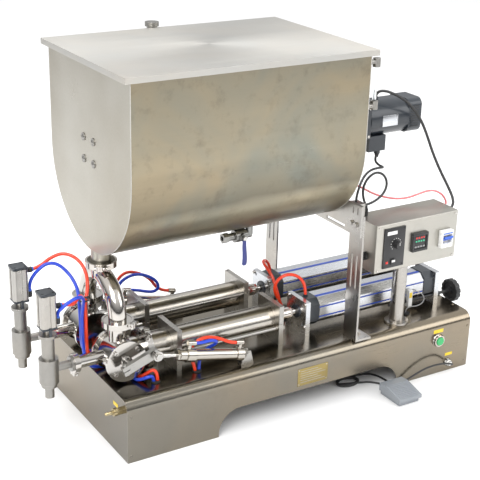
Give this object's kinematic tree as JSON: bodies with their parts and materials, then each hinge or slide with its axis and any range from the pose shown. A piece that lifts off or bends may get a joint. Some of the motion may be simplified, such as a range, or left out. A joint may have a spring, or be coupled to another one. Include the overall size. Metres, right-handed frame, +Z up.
{
  "type": "piston liquid filler",
  "caption": "Bench-top piston filler with twin metering cylinders and shut-off nozzles under a U-shaped jacketed, stirred hopper; pneumatic drive, control box and foot pedal.",
  "frame": {"origin": "middle of the whole machine seen from above, nozzles and pedal included, at the level the base stands on", "axes": "+X from the nozzles along the base to the handwheel, +Y from the operator's side to the back, +Z up"},
  "size_m": [1.169, 0.561, 0.893],
  "materials": {
    "aluminium": "anodised profile",
    "base_steel": "satin stainless sheet",
    "black_plastic": "moulded",
    "brass_nickel": "nickel-plated brass",
    "cable_black": "black sheath",
    "cable_grey": "grey sheath",
    "gauge_glass": "clear",
    "green_plastic": "moulded push button",
    "grommet_rubber": "matt black",
    "handle_blue": "blue sleeve",
    "hopper_steel": "matt stainless sheet",
    "hose_blue": "polyurethane hose",
    "hose_red": "polyurethane hose",
    "lid_steel": "bright matt stainless",
    "pedal_grey": "hammer grey",
    "polished_steel": "polished sanitary tube",
    "satin_steel": "satin machined stainless",
    "slate": "dark slate blue",
    "toggle_blue": "blue toggle",
    "white_plastic": "moulded",
    "wire_red": "red and white leads"
  },
  "bodies": {
    "frame": {"air_cylinder_barrels": "aluminium", "air_cylinder_caps": "slate", "air_inlet_coupling": "brass_nickel", "base_cabinet": "base_steel", "box_lead": "cable_black", "control_box": "satin_steel", "cylinder_hose_front": "hose_red", "cylinder_hose_rear": "hose_red", "cylinder_plates": "satin_steel", "deck_brackets": "satin_steel", "deck_grommets": "grommet_rubber", "end_panels": "base_steel", "feed_manifold": "polished_steel", "gantry": "satin_steel", "gear_motor": "slate", "heater_wires": "wire_red", "hopper": "hopper_steel", "hopper_fittings": "satin_steel", "metering_cylinders": "polished_steel", "motor_cable": "cable_black", "nozzle_bodies": "satin_steel", "nozzle_cylinders": "satin_steel", "nozzle_hose_front_blue": "hose_blue", "nozzle_hose_front_red": "hose_red", "nozzle_hose_rear_blue": "hose_blue", "nozzle_hose_rear_red": "hose_red", "panel_fittings": "black_plastic", "panel_instruments": "black_plastic", "pedal_base": "pedal_grey", "pedal_cable": "cable_black", "pedal_cable_coil": "cable_black", "pipe_clamps": "polished_steel", "sensor_wire": "cable_grey", "sight_glass": "gauge_glass", "solenoid_valve_bank": "aluminium", "terminal_lead": "cable_black", "turn_hose_front_blue": "hose_blue", "turn_hose_front_red": "hose_red", "turn_hose_rear_blue": "hose_blue", "turn_hose_rear_red": "hose_red", "valve_bodies": "polished_steel"},
    "lid": {"hopper_lid": "lid_steel"},
    "agitator": {"agitator": "satin_steel"},
    "valve_front": {"valve_rotor_front": "satin_steel"},
    "valve_rear": {"valve_rotor_rear": "satin_steel"},
    "turn_cylinder_front": {"turn_cylinder_front": "satin_steel"},
    "turn_cylinder_rear": {"turn_cylinder_rear": "satin_steel"},
    "turn_rod_front": {"turn_rod_front": "satin_steel"},
    "turn_rod_rear": {"turn_rod_rear": "satin_steel"},
    "piston_front": {"piston_front": "satin_steel"},
    "piston_rear": {"piston_rear": "satin_steel"},
    "nozzle_stem_front": {"nozzle_stem_front": "satin_steel"},
    "nozzle_stem_rear": {"nozzle_stem_rear": "satin_steel"},
    "handwheel": {"handwheel": "black_plastic"},
    "stroke_sensor": {"stroke_sensor": "white_plastic"},
    "start_button": {"start_button": "green_plastic"},
    "speed_knob": {"speed_knob": "black_plastic"},
    "breaker_toggle": {"breaker_toggle": "toggle_blue"},
    "drain_handle": {"drain_handle": "handle_blue"},
    "pedal_treadle": {"pedal_treadle": "pedal_grey"}
  },
  "joints": [
    {"name": "lid_lift", "type": "slide", "parent": "frame", "child": "lid", "axis": [0, 0, 1], "range_m": [0, 0.25]},
    {"name": "agitator_spin", "type": "hinge", "parent": "frame", "child": "agitator", "pos_m": [-0.1145, 0.0295, 0.674], "axis": [1, 0, 0], "continuous": true},
    {"name": "valve_turn_front", "type": "hinge", "parent": "frame", "child": "valve_front", "pos_m": [-0.3935, -0.0525, 0.208], "axis": [0, -1, 0], "range_deg": [0, 90]},
    {"name": "turn_swing_front", "type": "hinge", "parent": "frame", "child": "turn_cylinder_front", "pos_m": [-0.1035, -0.1395, 0.177], "axis": [0, 1, 0], "range_deg": [0, 3.33], "deforming": ["turn_hose_front_red", "turn_hose_front_blue"]},
    {"name": "turn_rod_front", "type": "slide", "parent": "turn_cylinder_front", "child": "turn_rod_front", "axis": [-0.9765, 0, 0.2154], "range_m": [0, 0.0835]},
    {"name": "piston_stroke_front", "type": "slide", "parent": "frame", "child": "piston_front", "axis": [-1, 0, 0], "range_m": [0, 0.3]},
    {"name": "nozzle_lift_front", "type": "slide", "parent": "frame", "child": "nozzle_stem_front", "axis": [0, 0, 1], "range_m": [0, 0.012], "stiffness_N_per_m": 1500, "springref_m": -0.004},
    {"name": "valve_turn_rear", "type": "hinge", "parent": "frame", "child": "valve_rear", "pos_m": [-0.3935, 0.1115, 0.208], "axis": [0, -1, 0], "range_deg": [0, 90]},
    {"name": "turn_swing_rear", "type": "hinge", "parent": "frame", "child": "turn_cylinder_rear", "pos_m": [-0.1035, 0.1985, 0.177], "axis": [0, 1, 0], "range_deg": [0, 3.33], "deforming": ["turn_hose_rear_red", "turn_hose_rear_blue"]},
    {"name": "turn_rod_rear", "type": "slide", "parent": "turn_cylinder_rear", "child": "turn_rod_rear", "axis": [-0.9765, 0, 0.2154], "range_m": [0, 0.0835]},
    {"name": "piston_stroke_rear", "type": "slide", "parent": "frame", "child": "piston_rear", "axis": [-1, 0, 0], "range_m": [0, 0.3]},
    {"name": "nozzle_lift_rear", "type": "slide", "parent": "frame", "child": "nozzle_stem_rear", "axis": [0, 0, 1], "range_m": [0, 0.012], "stiffness_N_per_m": 1500, "springref_m": -0.004},
    {"name": "handwheel_turn", "type": "hinge", "parent": "frame", "child": "handwheel", "pos_m": [0.5655, -0.0855, 0.177], "axis": [1, 0, 0], "range_deg": [-9000, 1800]},
    {"name": "sensor_slide", "type": "slide", "parent": "frame", "child": "stroke_sensor", "axis": [1, 0, 0], "range_m": [-0.1002, 0.0202], "deforming": ["sensor_wire"]},
    {"name": "start_button_press", "type": "slide", "parent": "frame", "child": "start_button", "axis": [0, 1, 0], "range_m": [0, 0.004], "stiffness_N_per_m": 1000, "springref_m": -0.002},
    {"name": "speed_knob_turn", "type": "hinge", "parent": "frame", "child": "speed_knob", "pos_m": [0.2895, -0.1905, 0.398], "axis": [0, 1, 0], "range_deg": [0, 270]},
    {"name": "breaker_switch", "type": "hinge", "parent": "frame", "child": "breaker_toggle", "pos_m": [0.4455, -0.1915, 0.386], "axis": [1, 0, 0], "range_deg": [0, 50]},
    {"name": "drain_handle_turn", "type": "hinge", "parent": "frame", "child": "drain_handle", "pos_m": [-0.0625, -0.0555, 0.432], "axis": [0, -1, 0], "range_deg": [0, 90]},
    {"name": "pedal_press", "type": "hinge", "parent": "frame", "child": "pedal_treadle", "pos_m": [0.2965, -0.2075, 0.017], "axis": [1, 0, 0], "range_deg": [0, 6], "stiffness_Nm_per_rad": 1, "springref_deg": -6.88}
  ],
  "couplings": [
    {"joint": "turn_swing_front", "follows": "valve_turn_front", "ratio": 0.036445},
    {"joint": "turn_rod_front", "follows": "valve_turn_front", "m_per_rad": 0.053062},
    {"joint": "turn_swing_rear", "follows": "valve_turn_rear", "ratio": 0.036445},
    {"joint": "turn_rod_rear", "follows": "valve_turn_rear", "m_per_rad": 0.053062},
    {"joint": "sensor_slide", "follows": "handwheel_turn", "m_per_rad": 0.00063662}
  ]
}
